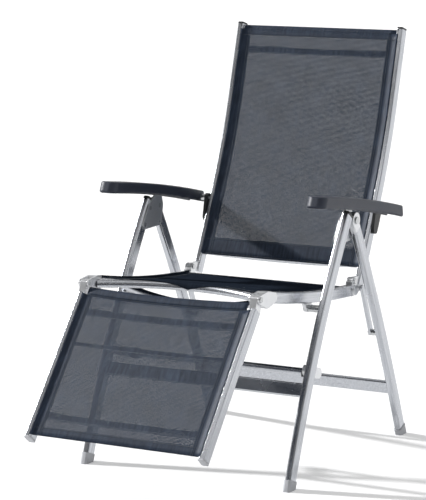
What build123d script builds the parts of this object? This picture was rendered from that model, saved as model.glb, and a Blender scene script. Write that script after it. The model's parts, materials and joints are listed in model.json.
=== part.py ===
from build123d import *
import os
from math import atan2, cos, degrees, radians, sin

# Reclining garden armchair with a leg rest hinged to the front of the seat.
# Frame: +Z up, floor at z = 0, the chair faces -Y, x = 0 is its mid-plane.
# Side-view places are (y, z), with y counted backwards from the hub where the legs cross.
os.makedirs("parts", exist_ok=True)

# Hub and legs
hub_height = 601
hub_set_back = 144
leg_centre_x = 280
leg_width = 18
leg_depth = 33
leg_corner = 6
front_foot_reach = 336
front_top_lead = 35.5
front_top_rise = 15
front_leg_bow = 20.5
rear_foot_reach = 293
rear_leg_bow = 10
foot_height = 22
foot_wall = 2

# Seat, back and leg rest frames, all between the legs
rail_centre_x = 231
rail_width = 18
rail_depth = 28
rail_corner = 4
seat_front_lead = 364
seat_front_height = 463.5
seat_end_set = 82
seat_end_height = 408.5
seat_rail_bow = 8
back_hinge_set = 97
back_hinge_height = 431
back_foot_set = 39
back_foot_drop = 19
back_lower_run = 365
back_lower_lean = 26.4
back_upper_run = 315
back_upper_lean = 16.2
back_bend_radius = 1500
footrest_hinge_lead = 423
footrest_hinge_height = 467
footrest_angle = 50.8
footrest_length = 396
footrest_rail_depth = 30

# Pivots between the frames
seat_pivot_lead = 162
seat_pivot_height = 405
link_top_set = 114
link_top_height = 412
link_foot_set = 169
link_foot_height = 290

# Armrests
arm_centre_x = 286.5
arm_width = 50
arm_wall = 4
arm_pivot_set = 213
arm_pivot_height = 597
arm_slope = 9.5
arm_reach = 448
arm_tail = 17
arm_top = 16
arm_bottom = 13
arm_bow = 6.5
arm_nose_radius = 20
arm_edge_radius = 5

# Shared clearances and small sizes
overrun = 2
flat_gap = 0.5
fit_gap = 0.05
cloth_gap = 0.3
bolt_radius = 3
bolt_head_radius = 5.5
bolt_head_height = 2.5

# Faces that the pieces share
leg_inner_x = leg_centre_x - leg_width / 2
leg_outer_x = leg_centre_x + leg_width / 2
rail_inner_x = rail_centre_x - rail_width / 2
rail_outer_x = rail_centre_x + rail_width / 2
back_rail_width = rail_width - 2 * flat_gap
rear_leg_width = leg_width - 2 * flat_gap

# Pivot places in side view
hub = (0, hub_height)
seat_pivot = (-seat_pivot_lead, seat_pivot_height)
link_top = (link_top_set, link_top_height)
link_foot = (link_foot_set, link_foot_height)
back_hinge = (back_hinge_set, back_hinge_height)
footrest_hinge = (-footrest_hinge_lead, footrest_hinge_height)
arm_pivot = (arm_pivot_set, arm_pivot_height)


# Side-view plane at one x: local x runs backwards, local y upwards, depth along +X.
def side(x):
    return Plane(origin=(x, hub_set_back, 0), x_dir=(0, 1, 0), z_dir=(1, 0, 0))


# Plane across the chair through one side-view place; local x runs along +X and
# local y in the side-view direction that lies at an angle above straight back.
def across(place, angle):
    turn = radians(angle)
    return Plane(
        origin=(0, hub_set_back + place[0], place[1]),
        x_dir=(1, 0, 0),
        z_dir=(0, -sin(turn), cos(turn)),
    )


# Plane square to a path at one share of its length, with local x along +X.
def square_to(path, share):
    return Plane(origin=path @ share, x_dir=(1, 0, 0), z_dir=path % share)


# Side-view place at one share of a path, moved off it square to the path;
# a positive offset goes to the back and down from a path that rises.
def beside(path, share, offset):
    point = path @ share
    heading = path % share
    return (point.Y - hub_set_back + offset * heading.Z, point.Z - offset * heading.Y)


# Writes one piece under its node name.
def write(piece, name):
    piece.part.label = name
    export_step(piece.part, f"parts/{name}.step")


# Writes a piece of the right side and its mirror image on the left side.
def write_pair(piece, name):
    write(piece, f"{name}_right")
    with BuildPart() as twin:
        mirror(piece.part, about=Plane.YZ)
    write(twin, f"{name}_left")


# A round tube across the chair, bowed sideways, cut square at both sides.
def bowed_tube(plane, reach, bow, radius):
    with BuildPart() as tube:
        with BuildLine(plane) as path:
            SagittaArc((-reach - overrun, 0), (reach + overrun, 0), bow)
        with BuildSketch(Plane(origin=path.line @ 0, z_dir=path.line % 0)):
            Circle(radius)
        sweep(path=path.line)
        split(bisect_by=Plane.YZ.offset(reach), keep=Keep.BOTTOM)
        split(bisect_by=Plane.YZ.offset(-reach), keep=Keep.TOP)
    return tube


# A plate in side view that is the hull of round bosses, given as (place, radius).
def boss_plate(x, thickness, bosses):
    with BuildPart() as plate:
        with BuildSketch(side(x)) as outline:
            for place, radius in bosses:
                with Locations(place):
                    Circle(radius)
            make_hull(outline.sketch_local.edges())
        extrude(amount=thickness)
    return plate.part


# A pair of stepped pins, one on each side, about an axis along X through one
# side-view place; steps are (start x, end x, radius) of the right one.
def stepped_pins(place, steps):
    with BuildPart() as pins:
        for start, end, radius in steps:
            with BuildSketch(side(start)):
                with Locations(place):
                    Circle(radius)
            extrude(amount=end - start)
        mirror(about=Plane.YZ)
    return pins


# Front legs: flat-oval tubes, gently curved, from the floor to just above the hub
with BuildPart() as front_leg:
    with BuildLine(side(leg_centre_x)) as front_leg_axis:
        SagittaArc(
            (-front_foot_reach, foot_height),
            (-front_top_lead, hub_height + front_top_rise),
            front_leg_bow,
        )
    with BuildSketch(square_to(front_leg_axis.line, 0)):
        RectangleRounded(leg_width, leg_depth, leg_corner)
    sweep(path=front_leg_axis.line)

# Rear legs: the same section, from the floor to the cast knuckle under the armrest
knuckle_radius = 20
knuckle_stem = 27
hub_pin_radius = 6
rear_leg_lean = degrees(atan2(rear_foot_reach, hub_height - foot_height))
knuckle_end = (
    knuckle_stem * sin(radians(rear_leg_lean)),
    hub_height - knuckle_stem * cos(radians(rear_leg_lean)),
)
with BuildPart() as rear_leg:
    with BuildLine(side(leg_centre_x)) as rear_leg_axis:
        SagittaArc((rear_foot_reach, foot_height), knuckle_end, -rear_leg_bow)
    with BuildSketch(square_to(rear_leg_axis.line, 0)):
        RectangleRounded(rear_leg_width, leg_depth, leg_corner)
    sweep(path=rear_leg_axis.line)


# Foot caps: moulded plugs that carry each leg's section down to the floor
def foot_cap(axis, width):
    down = Plane(origin=axis @ 0, x_dir=(1, 0, 0), z_dir=-(axis % 0))
    with BuildPart() as cap:
        with BuildSketch(down):
            RectangleRounded(width + 2 * foot_wall, leg_depth + 2 * foot_wall, leg_corner + foot_wall)
        extrude(amount=2 * foot_height)
        split(bisect_by=Plane.XY, keep=Keep.TOP)
    return cap


write_pair(foot_cap(front_leg_axis.line, leg_width), "front_foot_cap")
write_pair(foot_cap(rear_leg_axis.line, rear_leg_width), "rear_foot_cap")

# Black end plugs on top of the front legs
leg_cap_height = 7
with BuildPart() as leg_cap:
    with BuildSketch(square_to(front_leg_axis.line, 1)):
        RectangleRounded(leg_width, leg_depth, leg_corner)
    extrude(amount=leg_cap_height)
    top_edges = leg_cap.faces().sort_by(Axis.Z)[-1].edges()
    fillet(top_edges, leg_corner / 3)
    mirror(about=Plane.YZ)
write(leg_cap, "front_leg_plugs")

# Rear leg knuckles: a round eye on the hub with a stem that closes the tube
with BuildPart() as knuckle:
    stem_plane = Plane(
        origin=(leg_centre_x, hub_set_back, hub_height),
        x_dir=(1, 0, 0),
        z_dir=-(rear_leg_axis.line % 1),
    )
    with BuildSketch(side(leg_centre_x)):
        with Locations(hub):
            Circle(knuckle_radius)
    extrude(amount=rear_leg_width / 2, both=True)
    with BuildSketch(square_to(rear_leg_axis.line, 1)):
        RectangleRounded(rear_leg_width, leg_depth, leg_corner)
    extrude(amount=knuckle_stem)
    with BuildSketch(side(leg_centre_x)):
        with Locations(hub):
            Circle(hub_pin_radius + fit_gap)
    extrude(amount=leg_width, both=True, mode=Mode.SUBTRACT)
    mirror(about=Plane.YZ)
write(knuckle, "rear_leg_knuckles")

# Hub plates: cast cheeks on the inner faces of the front legs. They carry the rear legs
# and the pins that the armrests rest on.
hub_plate_thickness = 4.5
hub_plate_x = leg_inner_x - hub_plate_thickness
rest_pin_lead = 1
rest_pin_rise = 36
rest_pin_radius = 3.5
rest_pin_length = 35
rest_pin = (-rest_pin_lead, hub_height + rest_pin_rise)
plate_boss_radius = 12
crotch_drop = 42
crotch_radius = 9
bolt_shares = (0.9, 0.97)
crotch_place = (0, hub_height - crotch_drop)
bolt_places = [beside(front_leg_axis.line, share, 0) for share in bolt_shares]
plate_bosses = [(place, plate_boss_radius) for place in bolt_places]
plate_bosses += [(hub, knuckle_radius * 0.85), (crotch_place, crotch_radius), (rest_pin, 2 * rest_pin_radius)]
with BuildPart() as hub_plate:
    add(boss_plate(hub_plate_x, hub_plate_thickness, plate_bosses))
    with BuildSketch(side(hub_plate_x)):
        with Locations(*bolt_places, crotch_place):
            Circle(bolt_radius + fit_gap)
        with Locations(hub):
            Circle(hub_pin_radius + fit_gap)
        with Locations(rest_pin):
            Circle(rest_pin_radius + fit_gap)
    extrude(amount=hub_plate_thickness, mode=Mode.SUBTRACT)
    with BuildSketch(side(hub_plate_x)):
        with Locations(*bolt_places):
            Circle(bolt_head_radius + fit_gap)
    extrude(amount=bolt_head_height, mode=Mode.SUBTRACT)
write_pair(hub_plate, "hub_plate")

# Hub pivot pins, with a low round head on the outer face of the rear leg
hub_head_radius = 9
hub_head_height = 2.5
hub_pin = stepped_pins(
    hub,
    [
        (hub_plate_x, leg_outer_x, hub_pin_radius),
        (leg_outer_x, leg_outer_x + hub_head_height, hub_head_radius),
    ],
)
write(hub_pin, "hub_pivot_pins")

# Pins inside the armrests that the racks drop onto
rest_pins = stepped_pins(rest_pin, [(hub_plate_x, hub_plate_x + rest_pin_length, rest_pin_radius)])
write(rest_pins, "armrest_rest_pins")

# Stay tube behind the front legs, carried by rounded lugs, with a clamp at each end
stay_set = -166
stay_height = 248
stay_radius = 9
lug_thickness = 7
lug_radius = 13
lug_leg_share = 0.4
lug_bolt_drop = 6
stay_place = (stay_set, stay_height)
lug_leg_place = beside(front_leg_axis.line, lug_leg_share, 0)
lug_bolt_place = beside(front_leg_axis.line, lug_leg_share, lug_bolt_drop)
lug_inner_x = leg_inner_x - lug_thickness
with BuildPart() as stay_lug:
    add(boss_plate(lug_inner_x, lug_thickness, [(lug_leg_place, lug_radius), (stay_place, lug_radius)]))
    with BuildSketch(side(lug_inner_x)):
        with Locations(lug_bolt_place):
            Circle(bolt_radius + fit_gap)
    extrude(amount=lug_thickness, mode=Mode.SUBTRACT)
    mirror(about=Plane.YZ)
write(stay_lug, "stay_lugs")
with BuildPart() as stay_tube:
    with BuildSketch(side(0)):
        with Locations(stay_place):
            Circle(stay_radius)
    extrude(amount=lug_inner_x, both=True)
write(stay_tube, "stay_tube")

# Split plastic clamps round the stay tube, just inside the lugs
clamp_width = 16
clamp_radius = 14
clamp_inset = 14
clamp_ear = 24
clamp_x = lug_inner_x - clamp_inset - clamp_width
with BuildPart() as stay_clamp:
    with BuildSketch(side(clamp_x)):
        with Locations(stay_place):
            Circle(clamp_radius)
            with Locations((-clamp_ear / 2, 0)):
                Rectangle(clamp_ear, clamp_radius)
            Circle(stay_radius + fit_gap, mode=Mode.SUBTRACT)
    extrude(amount=clamp_width)
    mirror(about=Plane.YZ)
write(stay_clamp, "stay_clamps")

# Bolts of the hub plates and of the stay lugs, all alike
bolt_length = 14
with BuildPart() as frame_bolts:
    for place in bolt_places:
        with BuildSketch(side(hub_plate_x)):
            with Locations(place):
                Circle(bolt_head_radius)
        extrude(amount=bolt_head_height)
        with BuildSketch(side(hub_plate_x)):
            with Locations(place):
                Circle(bolt_radius)
        extrude(amount=bolt_length)
    with BuildSketch(side(hub_plate_x)):
        with Locations(crotch_place):
            Circle(bolt_radius)
    extrude(amount=hub_plate_thickness)
    with BuildSketch(side(lug_inner_x - bolt_head_height)):
        with Locations(lug_bolt_place):
            Circle(bolt_head_radius)
    extrude(amount=bolt_head_height)
    with BuildSketch(side(lug_inner_x)):
        with Locations(lug_bolt_place):
            Circle(bolt_radius)
    extrude(amount=bolt_length)
    mirror(about=Plane.YZ)
write(frame_bolts, "frame_bolts")

# The bolts' holes in the front legs
with front_leg:
    with BuildSketch(side(leg_inner_x)):
        with Locations(*bolt_places, lug_bolt_place):
            Circle(bolt_radius + fit_gap)
    extrude(amount=bolt_length, mode=Mode.SUBTRACT)
write_pair(front_leg, "front_leg")


# Flat crossbars between the legs, standing in line with each leg
def crossbar(axis, share, height, depth, reach):
    with BuildPart() as bar:
        spot = axis @ share
        heading = axis % share
        with BuildSketch(Plane(origin=(0, spot.Y, spot.Z), x_dir=heading, z_dir=(1, 0, 0))):
            RectangleRounded(height, depth, depth / 3)
        extrude(amount=reach, both=True)
    return bar


front_bar_share = 0.325
front_bar_height = 34
rear_bar_share = 0.198
rear_bar_height = 36
bar_depth = 13
rear_leg_inner_x = leg_centre_x - rear_leg_width / 2
write(
    crossbar(front_leg_axis.line, front_bar_share, front_bar_height, bar_depth, leg_inner_x),
    "front_crossbar",
)
write(
    crossbar(rear_leg_axis.line, rear_bar_share, rear_bar_height, bar_depth, rear_leg_inner_x),
    "rear_crossbar",
)

# Links that draw the seat down as the rear legs close, and their pins on the rear legs
link_thickness = 6
link_width = 16
link_outer_x = 256
link_inner_x = link_outer_x - link_thickness
link_pin_radius = 4
link_spacer_radius = 8
link_bosses = [(link_top, link_width / 2), (link_foot, link_width / 2)]
with BuildPart() as link:
    add(boss_plate(link_inner_x, link_thickness, link_bosses))
    with BuildSketch(side(link_inner_x)):
        with Locations(link_foot):
            Circle(link_pin_radius + fit_gap)
    extrude(amount=link_thickness, mode=Mode.SUBTRACT)
write_pair(link, "fold_link")
link_pin = stepped_pins(
    link_foot,
    [
        (link_inner_x - bolt_head_height - fit_gap, link_inner_x - fit_gap, link_spacer_radius),
        (link_inner_x - fit_gap, link_outer_x + fit_gap, link_pin_radius),
        (link_outer_x + fit_gap, rear_leg_inner_x, link_spacer_radius),
    ],
)
write(link_pin, "link_pins")
write_pair(rear_leg, "rear_leg")

# Keder groove of the sling rails: a round bore behind a narrow slot in the front face
groove_radius = 3
groove_slot = 2.4
groove_depth = 6
groove_inset = 5.5


# Section of a sling rail on a plane square to its path: depth along local y, and the
# groove opens towards the face that side says, +1 for local +y and -1 for local -y.
def rail_section(width, depth, face):
    groove_x = rail_inner_x + groove_inset - rail_centre_x
    RectangleRounded(width, depth, rail_corner)
    with Locations((groove_x, face * (depth / 2 - groove_depth))):
        Circle(groove_radius, mode=Mode.SUBTRACT)
    with Locations((groove_x, face * (depth / 2 - groove_depth / 2))):
        Rectangle(groove_slot, groove_depth, mode=Mode.SUBTRACT)


# Seat rails, sagging a little between the front hinge and the fork at the back
with BuildPart() as seat_rail:
    with BuildLine(side(rail_centre_x)) as seat_axis:
        SagittaArc(
            (-seat_front_lead, seat_front_height),
            (seat_end_set, seat_end_height),
            -seat_rail_bow,
        )
    with BuildSketch(square_to(seat_axis.line, 0)):
        rail_section(rail_width, rail_depth, -1)
    sweep(path=seat_axis.line)
write_pair(seat_rail, "seat_rail")

# Forks on the rear ends of the seat rails: two cheeks that hold the back's tongue
fork_eye_radius = 9.5
fork_heel_radius = 13
fork_cheek = 4
fork_slot = rail_width - 2 * fork_cheek
fork_web = 3
link_boss_radius = 8
link_boss_x = link_inner_x - overrun
fork_root = (seat_end_set, seat_end_height)
fork_heel = (seat_end_set + fork_heel_radius, seat_end_height)
with BuildPart() as fork:
    with BuildSketch(side(rail_inner_x)) as fork_outline:
        for place, radius in ((fork_root, rail_depth / 2), (fork_heel, fork_heel_radius), (back_hinge, fork_eye_radius)):
            with Locations(place):
                Circle(radius)
        make_hull(fork_outline.sketch_local.edges())
    extrude(amount=rail_width)
    split(bisect_by=square_to(seat_axis.line, 1), keep=Keep.TOP)
    with BuildSketch(side(rail_inner_x + fork_cheek)):
        with Locations((seat_end_set + fork_web, 0)):
            Rectangle(2 * fork_heel_radius + 2 * fork_eye_radius, 2 * hub_height, align=(Align.MIN, Align.CENTER))
    extrude(amount=fork_slot, mode=Mode.SUBTRACT)
    with BuildSketch(side(rail_outer_x)) as arm_outline:
        for place, radius in ((fork_heel, fork_heel_radius), (link_top, link_boss_radius)):
            with Locations(place):
                Circle(radius)
        make_hull(arm_outline.sketch_local.edges())
    extrude(amount=fork_cheek)
    with BuildSketch(side(rail_outer_x)):
        with Locations(link_top):
            Circle(link_boss_radius)
    extrude(amount=link_boss_x - rail_outer_x)
    with BuildSketch(side(rail_inner_x)):
        with Locations(back_hinge):
            Circle(link_pin_radius + fit_gap)
    extrude(amount=rail_width, mode=Mode.SUBTRACT)
write_pair(fork, "back_hinge_fork")

# Back hinge pins, with a washer head on each side of the fork
pin_head_radius = 7
pin_head_height = 2.5
back_pin = stepped_pins(
    back_hinge,
    [
        (rail_inner_x - fit_gap - pin_head_height, rail_inner_x - fit_gap, pin_head_radius),
        (rail_inner_x - fit_gap, rail_outer_x + fit_gap, link_pin_radius),
        (rail_outer_x + fit_gap, rail_outer_x + fit_gap + pin_head_height, pin_head_radius),
    ],
)
write(back_pin, "back_hinge_pins")

# Seat pivot brackets under the seat rails, and their pins on the front legs
bracket_width = 9
bracket_base = 44
bracket_radius = 10
pivot_pin_radius = 5
pivot_collar_radius = 9
bracket_x = rail_outer_x - bracket_width
with BuildPart() as seat_bracket:
    with BuildSketch(side(bracket_x)) as bracket_outline:
        with Locations(seat_pivot):
            Circle(bracket_radius)
            with Locations((0, rail_depth)):
                Rectangle(bracket_base, rail_depth)
        make_hull(bracket_outline.sketch_local.edges())
        with Locations(seat_pivot):
            Circle(pivot_pin_radius + fit_gap, mode=Mode.SUBTRACT)
    extrude(amount=bracket_width)
    with BuildSketch(square_to(seat_axis.line, 0)):
        Rectangle(2 * rail_width, rail_depth)
    sweep(path=seat_axis.line, mode=Mode.SUBTRACT)
    keep_low = seat_bracket.solids().sort_by(Axis.Z)[0]
with BuildPart() as seat_brackets:
    add(keep_low)
    mirror(about=Plane.YZ)
write(seat_brackets, "seat_pivot_brackets")
seat_pin = stepped_pins(
    seat_pivot,
    [
        (bracket_x - bolt_head_height, bracket_x - fit_gap, pivot_collar_radius),
        (bracket_x - fit_gap, rail_outer_x + fit_gap, pivot_pin_radius),
        (rail_outer_x + fit_gap, leg_inner_x, pivot_collar_radius),
    ],
)
write(seat_pin, "seat_pivot_pins")

# Front hinge castings: a round boss on the end of each seat rail between two cheeks
hinge_disc_lead = 387
hinge_disc_height = 461
hinge_disc_radius = 20
hinge_eye_radius = 10
hinge_cheek = 4
hinge_disc = (-hinge_disc_lead, hinge_disc_height)
seat_nose = (-seat_front_lead, seat_front_height)
cheek_root = (-seat_front_lead + rail_depth / 2, seat_front_height - overrun)
hinge_hull = ((cheek_root, rail_depth / 2 - overrun), (hinge_disc, hinge_disc_radius), (footrest_hinge, hinge_eye_radius))
with BuildPart() as hinge_casting:
    with BuildSketch(side(rail_inner_x)) as disc_outline:
        for place, radius in ((seat_nose, rail_depth / 2), (hinge_disc, hinge_disc_radius)):
            with Locations(place):
                Circle(radius)
        make_hull(disc_outline.sketch_local.edges())
    extrude(amount=rail_width)
    split(bisect_by=square_to(seat_axis.line, 0), keep=Keep.BOTTOM)
    for start, bosses in ((rail_outer_x, hinge_hull), (rail_inner_x - hinge_cheek, hinge_hull[1:])):
        with BuildSketch(side(start)) as cheek_outline:
            for place, radius in bosses:
                with Locations(place):
                    Circle(radius)
            make_hull(cheek_outline.sketch_local.edges())
            with Locations(footrest_hinge):
                Circle(pivot_pin_radius + fit_gap, mode=Mode.SUBTRACT)
        extrude(amount=hinge_cheek)
write_pair(hinge_casting, "front_hinge_casting")
footrest_pin = stepped_pins(
    footrest_hinge,
    [
        (rail_inner_x - hinge_cheek, rail_outer_x + hinge_cheek, pivot_pin_radius),
        (rail_outer_x + hinge_cheek, rail_outer_x + hinge_cheek + pin_head_height, pin_head_radius),
    ],
)
write(footrest_pin, "footrest_hinge_pins")

# Seat cross tubes: one bowed backwards between the hinge castings, two bowed down
tube_radius = 9
front_tube_radius = 10
front_tube_bow = 66
seat_tube_bow = 38
rear_tube_bow = 26
seat_tube_share = 0.18
rear_tube_share = 0.95
write(
    bowed_tube(across(hinge_disc, 0), rail_inner_x - hinge_cheek, front_tube_bow, front_tube_radius),
    "seat_front_tube",
)
write(
    bowed_tube(across(beside(seat_axis.line, seat_tube_share, 0), -90), rail_inner_x, seat_tube_bow, tube_radius),
    "seat_middle_tube",
)
write(
    bowed_tube(across(beside(seat_axis.line, rear_tube_share, 0), -90), rail_inner_x, rear_tube_bow, tube_radius),
    "seat_rear_tube",
)

# Slings: tight cloth sheets between the rails, just under their faces
cloth_thickness = 2
cloth_depth = 3
cloth_reach = rail_inner_x - cloth_gap
seat_cloth_bow = 60
seat_cloth_start = 0.004
seat_cloth_end = 0.985


# A sheet that follows a rail's path at one offset from it, between two shares of its length.
def sheet(path, offset, start, end):
    part_path = path.trim(start, end)
    lift = cloth_thickness / 2 + offset
    with BuildPart() as cloth:
        with BuildSketch(Plane(origin=part_path @ 0, x_dir=(1, 0, 0), z_dir=part_path % 0)):
            with Locations((-rail_centre_x, lift)):
                Rectangle(2 * cloth_reach, cloth_thickness)
        sweep(path=part_path)
    return cloth.part


with BuildPart() as seat_sling:
    add(sheet(seat_axis.edge(), -rail_depth / 2 + cloth_depth, seat_cloth_start, seat_cloth_end))
    with BuildSketch(Plane.XY):
        with BuildLine():
            left = (-rail_inner_x, hub_set_back - seat_front_lead)
            right = (rail_inner_x, hub_set_back - seat_front_lead)
            SagittaArc(left, right, seat_cloth_bow)
            Line(right, left)
        make_face()
    extrude(amount=hub_height, mode=Mode.SUBTRACT)
write(seat_sling, "seat_sling")

# Back rails: straight below, bending forwards over the shoulders, straight to the top
back_foot = (back_hinge_set + back_foot_set, back_hinge_height - back_foot_drop)
back_corner = (
    back_foot[0] + back_lower_run * sin(radians(back_lower_lean)),
    back_foot[1] + back_lower_run * cos(radians(back_lower_lean)),
)
back_top = (
    back_corner[0] + back_upper_run * sin(radians(back_upper_lean)),
    back_corner[1] + back_upper_run * cos(radians(back_upper_lean)),
)
with BuildPart() as back_rail:
    with BuildLine(side(rail_centre_x)) as back_axis:
        FilletPolyline(back_foot, back_corner, back_top, radius=back_bend_radius)
    with BuildSketch(square_to(back_axis.line, 0)):
        rail_section(back_rail_width, rail_depth, -1)
    sweep(path=back_axis.line)
write_pair(back_rail, "back_rail")

# Caps on the tops of the back rails
cap_height = 5
with BuildPart() as rail_cap:
    with BuildSketch(square_to(back_axis.line, 1)):
        RectangleRounded(back_rail_width, rail_depth, rail_corner)
    extrude(amount=cap_height)
    fillet(rail_cap.faces().sort_by(Axis.Z)[-1].edges(), rail_corner / 3)
    mirror(about=Plane.YZ)
write(rail_cap, "back_rail_caps")

# Tongues from the back rails forward into the forks
tongue_width = fork_slot - 2 * flat_gap
tongue_eye_radius = 9
tongue_height = 26
tongue_x = rail_centre_x - tongue_width / 2
tongue_low = (back_foot[0], back_foot[1] + tongue_eye_radius / 2)
tongue_high = (
    back_foot[0] + tongue_height * sin(radians(back_lower_lean)),
    back_foot[1] + tongue_height * cos(radians(back_lower_lean)),
)
tongue_bosses = [(back_hinge, tongue_eye_radius), (tongue_low, tongue_eye_radius / 3), (tongue_high, tongue_eye_radius / 3)]
with BuildPart() as tongue:
    add(boss_plate(tongue_x, tongue_width, tongue_bosses))
    with BuildSketch(square_to(back_axis.line, 0)):
        with Locations((0, rail_depth / 2)):
            Rectangle(2 * rail_width, 2 * rail_depth)
    extrude(amount=back_lower_run / 2, mode=Mode.SUBTRACT)
    with BuildSketch(side(tongue_x)):
        with Locations(back_hinge):
            Circle(link_pin_radius + fit_gap)
    extrude(amount=tongue_width, mode=Mode.SUBTRACT)
    mirror(about=Plane.YZ)
write(tongue, "back_hinge_tongues")

# Back cross tubes: at the top hem, across the shoulders and at the foot of the sling
top_tube_share = 0.985
upper_tube_share = 0.905
lower_tube_share = 0.085
tube_set_back = 2.5
upper_tube_bow = 12
lower_tube_bow = 18
for share, bow, name in (
    (top_tube_share, fit_gap, "back_top_tube"),
    (upper_tube_share, upper_tube_bow, "back_upper_tube"),
    (lower_tube_share, lower_tube_bow, "back_lower_tube"),
):
    lean = back_lower_lean if share < 0.5 else back_upper_lean
    spot = beside(back_axis.line, share, tube_set_back)
    write(bowed_tube(across(spot, -lean), rail_centre_x - back_rail_width / 2, bow, tube_radius), name)

back_cloth_start = 0.068
back_cloth_end = 0.997
with BuildPart() as back_sling:
    add(sheet(back_axis.wire(), -rail_depth / 2 + cloth_depth, back_cloth_start, back_cloth_end))
write(back_sling, "back_sling")

# Armrest brackets on the outer faces of the back rails
bracket_shares = (0.225, 0.285)
bracket_boss_radius = 12
arm_boss_radius = 11
arm_pin_radius = 4
arm_bracket_thickness = 8
arm_bracket_x = rail_centre_x + back_rail_width / 2
arm_bracket_bosses = [(beside(back_axis.line, share, 0), bracket_boss_radius) for share in bracket_shares]
arm_bracket_bosses.append((arm_pivot, arm_boss_radius))
with BuildPart() as arm_bracket:
    add(boss_plate(arm_bracket_x, arm_bracket_thickness, arm_bracket_bosses))
    with BuildSketch(side(arm_bracket_x)):
        with Locations(arm_pivot):
            Circle(arm_pin_radius + fit_gap)
    extrude(amount=arm_bracket_thickness, mode=Mode.SUBTRACT)
    mirror(about=Plane.YZ)
write(arm_bracket, "armrest_brackets")

# Armrest pins: a bolt with a collar between each bracket and the armrest's inner wall
arm_inner_x = arm_centre_x - arm_width / 2
collar_radius = 8
arm_head_height = 4
arm_pin = stepped_pins(
    arm_pivot,
    [
        (arm_bracket_x + fit_gap, arm_bracket_x + arm_bracket_thickness + fit_gap, arm_pin_radius),
        (arm_bracket_x + arm_bracket_thickness + fit_gap, arm_inner_x - fit_gap, collar_radius),
        (arm_inner_x - fit_gap, arm_inner_x + arm_wall + fit_gap, arm_pin_radius),
        (arm_inner_x + arm_wall + fit_gap, arm_inner_x + arm_wall + arm_head_height, pin_head_radius),
    ],
)
write(arm_pin, "armrest_pins")

# Armrests: arched mouldings, open below, whose walls hang over the tops of the legs.
# Their own plane starts at the pivot, with x forwards along the armrest and y upwards.
arm_plane = Plane(
    origin=(arm_centre_x, hub_set_back + arm_pivot_set, arm_pivot_height),
    x_dir=(0, -cos(radians(arm_slope)), sin(radians(arm_slope))),
    z_dir=(-1, 0, 0),
)
nose_lean = 8
tail_lean = 10
channel_nose_wall = 12
tail_notch_top = 4


# Side outline of the armrest between two heights over its pivot line, both arched alike.
def arm_outline(top, bottom, nose, tail):
    with BuildLine(Plane.XY) as outline:
        upper = SagittaArc((-tail, top), (nose, top), arm_bow)
        front = Line(upper @ 1, (nose + nose_lean, -bottom))
        lower = SagittaArc(front @ 1, (-tail - tail_lean, -bottom), -arm_bow)
        Line(lower @ 1, upper @ 0)
    make_face(outline.edges())


with BuildPart() as channel:
    with BuildSketch(arm_plane):
        arm_outline(arm_top - arm_wall, arm_bottom + arm_bow + overrun, arm_reach, arm_tail)
        with Locations((arm_reach - channel_nose_wall, 0)):
            Rectangle(
                arm_reach - channel_nose_wall + arm_tail - arm_wall,
                2 * arm_width,
                align=(Align.MAX, Align.CENTER),
                mode=Mode.INTERSECT,
            )
    extrude(amount=arm_width / 2 - arm_wall, both=True)
    corners = channel.edges().filter_by(Axis.X, reverse=True).filter_by(GeomType.LINE)
    fillet(corners.group_by(Axis.Y)[0], arm_nose_radius - 2 * arm_wall)
with BuildPart() as armrest:
    with BuildSketch(arm_plane):
        arm_outline(arm_top, arm_bottom, arm_reach, arm_tail)
    extrude(amount=arm_width / 2, both=True)
    corners = armrest.edges().filter_by(Axis.X, reverse=True).filter_by(GeomType.LINE)
    fillet(corners.group_by(Axis.Y)[0], arm_nose_radius)
    corners = armrest.edges().filter_by(Axis.X, reverse=True).filter_by(GeomType.LINE)
    fillet(corners.group_by(Axis.Y)[-1], arm_nose_radius / 2)
    fillet(armrest.faces().sort_by(Axis.Z)[-1].edges(), arm_edge_radius)
    add(channel.part, mode=Mode.SUBTRACT)
    with BuildSketch(arm_plane):
        with Locations((0, tail_notch_top)):
            Rectangle(2 * arm_width, arm_width, align=(Align.MAX, Align.MAX))
    extrude(amount=arm_width / 2 - arm_wall, both=True, mode=Mode.SUBTRACT)
    with BuildSketch(side(arm_inner_x)):
        with Locations(arm_pivot):
            Circle(arm_pin_radius + fit_gap)
    extrude(amount=arm_wall, mode=Mode.SUBTRACT)
write_pair(armrest, "armrest")

# Racks under the armrests' roofs: a row of round notches that drop onto the rest pins
rack_start = 205
rack_end = 313
rack_width = 22
rack_tip = 11.8
notch_radius = 4.5
notch_pitch = 16.5
notch_first = 217.5
notch_count = 6
with BuildPart() as rack:
    with BuildSketch(arm_plane) as rack_outline:
        arm_outline(arm_top - arm_wall, arm_bottom, arm_reach, arm_tail)
        with Locations(((rack_start + rack_end) / 2, rack_tip + arm_top / 2)):
            Rectangle(rack_end - rack_start, arm_top, mode=Mode.INTERSECT)
        for step in range(notch_count):
            with Locations((notch_first + step * notch_pitch, rack_tip)):
                Circle(notch_radius, mode=Mode.SUBTRACT)
    extrude(amount=rack_width / 2, both=True)
write_pair(rack, "armrest_rack")

# Leg rest rails, hanging from lugs on the front hinge pins
footrest_start = 24
footrest_end = 413
footrest_offset = 12.5


# Side-view place in the leg rest's own directions: down along its rails from the
# hinge, and square to them towards the floor.
def on_footrest(along, below):
    turn = radians(footrest_angle)
    return (
        -footrest_hinge_lead - along * cos(turn) + below * sin(turn),
        footrest_hinge_height - along * sin(turn) - below * cos(turn),
    )


footrest_foot = on_footrest(footrest_end, footrest_offset)
footrest_top = on_footrest(footrest_start, footrest_offset)
with BuildPart() as footrest_rail:
    with BuildLine(side(rail_centre_x)) as footrest_axis:
        Line(footrest_foot, footrest_top)
    with BuildSketch(square_to(footrest_axis.line, 0)):
        rail_section(rail_width, footrest_rail_depth, -1)
    sweep(path=footrest_axis.line)
write_pair(footrest_rail, "footrest_rail")

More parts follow.
